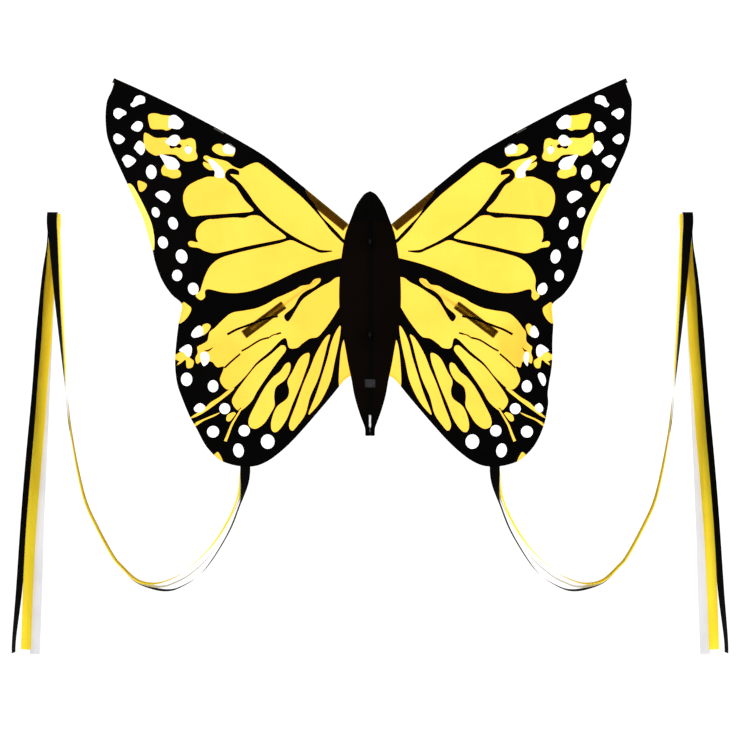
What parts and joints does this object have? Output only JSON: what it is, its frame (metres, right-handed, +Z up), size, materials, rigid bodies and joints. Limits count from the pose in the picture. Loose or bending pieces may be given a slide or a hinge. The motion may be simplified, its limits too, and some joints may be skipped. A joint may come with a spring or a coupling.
{
  "type": "butterfly kite",
  "caption": "Single-line delta kite shaped as a butterfly: printed ripstop wings, black body, fibreglass frame that folds at the body, ribbon tails on the hind wings.",
  "frame": {"origin": "centre of the upper bridle eyelet's bore", "axes": "+X to the right wing tip, +Y to the back of the kite, +Z up towards the nose"},
  "size_m": [1.7756, 0.0565, 1.4287],
  "materials": {
    "black_ripstop": "matt woven ripstop",
    "printed_ripstop": "translucent printed ripstop, yellow, black and white",
    "reinforcing_cloth": "matt woven ripstop, doubled",
    "sleeve_tape": "matt woven tape",
    "webbing": "matt webbing",
    "label_cloth": "satin woven label, blank",
    "pale_fibreglass": "semi-gloss pultruded fibreglass",
    "dark_fibreglass": "semi-gloss pultruded fibreglass",
    "hub_plastic": "moulded, fine texture",
    "vinyl": "soft vinyl, satin",
    "ferrule_metal": "drawn, satin",
    "eyelet_metal": "pressed brass, lacquered black",
    "black_ribbon": "satin ribbon",
    "yellow_ribbon": "satin ribbon",
    "white_ribbon": "satin ribbon"
  },
  "bodies": {
    "body": {"body_centre_strip": "black_ripstop", "nose_patch": "reinforcing_cloth", "tail_patch": "reinforcing_cloth", "blank_label": "label_cloth", "upper_spine_sleeve": "sleeve_tape", "lower_spine_sleeve": "sleeve_tape", "spine_rod": "pale_fibreglass", "nose_pocket": "webbing", "tail_pocket": "webbing", "spine_nose_cap": "vinyl", "spine_tail_cap": "vinyl", "cross_hub": "hub_plastic", "upper_bridle_tab": "webbing", "lower_bridle_tab": "webbing", "upper_bridle_eyelet": "eyelet_metal", "lower_bridle_eyelet": "eyelet_metal", "left_leading_coupler": "vinyl", "left_hind_coupler": "vinyl", "right_leading_coupler": "vinyl", "right_hind_coupler": "vinyl"},
    "left_wing": {"left_body_panel": "black_ripstop", "left_nose_patch": "reinforcing_cloth", "left_wing_sail": "printed_ripstop", "left_inner_sleeve": "sleeve_tape", "left_outer_sleeve": "sleeve_tape", "left_inner_rod": "dark_fibreglass", "left_outer_rod": "dark_fibreglass", "left_ferrule": "ferrule_metal", "left_tip_cap": "vinyl", "left_hind_rod": "pale_fibreglass", "left_hind_pocket": "sleeve_tape", "left_hind_cap": "vinyl", "left_tail_tab": "webbing", "left_black_ribbon": "black_ribbon", "left_yellow_ribbon": "yellow_ribbon", "left_white_ribbon": "white_ribbon"},
    "right_wing": {"right_body_panel": "black_ripstop", "right_nose_patch": "reinforcing_cloth", "right_wing_sail": "printed_ripstop", "right_inner_sleeve": "sleeve_tape", "right_outer_sleeve": "sleeve_tape", "right_inner_rod": "dark_fibreglass", "right_outer_rod": "dark_fibreglass", "right_ferrule": "ferrule_metal", "right_tip_cap": "vinyl", "right_hind_rod": "pale_fibreglass", "right_hind_pocket": "sleeve_tape", "right_hind_cap": "vinyl", "right_tail_tab": "webbing", "right_black_ribbon": "black_ribbon", "right_yellow_ribbon": "yellow_ribbon", "right_white_ribbon": "white_ribbon"}
  },
  "joints": [
    {"name": "left_wing_fold", "type": "hinge", "parent": "body", "child": "left_wing", "pos_m": [-0.0195, 0.0161, 0], "axis": [0, 0, -1], "range_deg": [-4, 80], "stiffness_Nm_per_rad": 0.4, "deforming": ["left_leading_coupler", "left_hind_coupler"]},
    {"name": "right_wing_fold", "type": "hinge", "parent": "body", "child": "right_wing", "pos_m": [0.0195, 0.0161, 0], "axis": [0, 0, 1], "range_deg": [-4, 80], "stiffness_Nm_per_rad": 0.4, "deforming": ["right_leading_coupler", "right_hind_coupler"]}
  ]
}
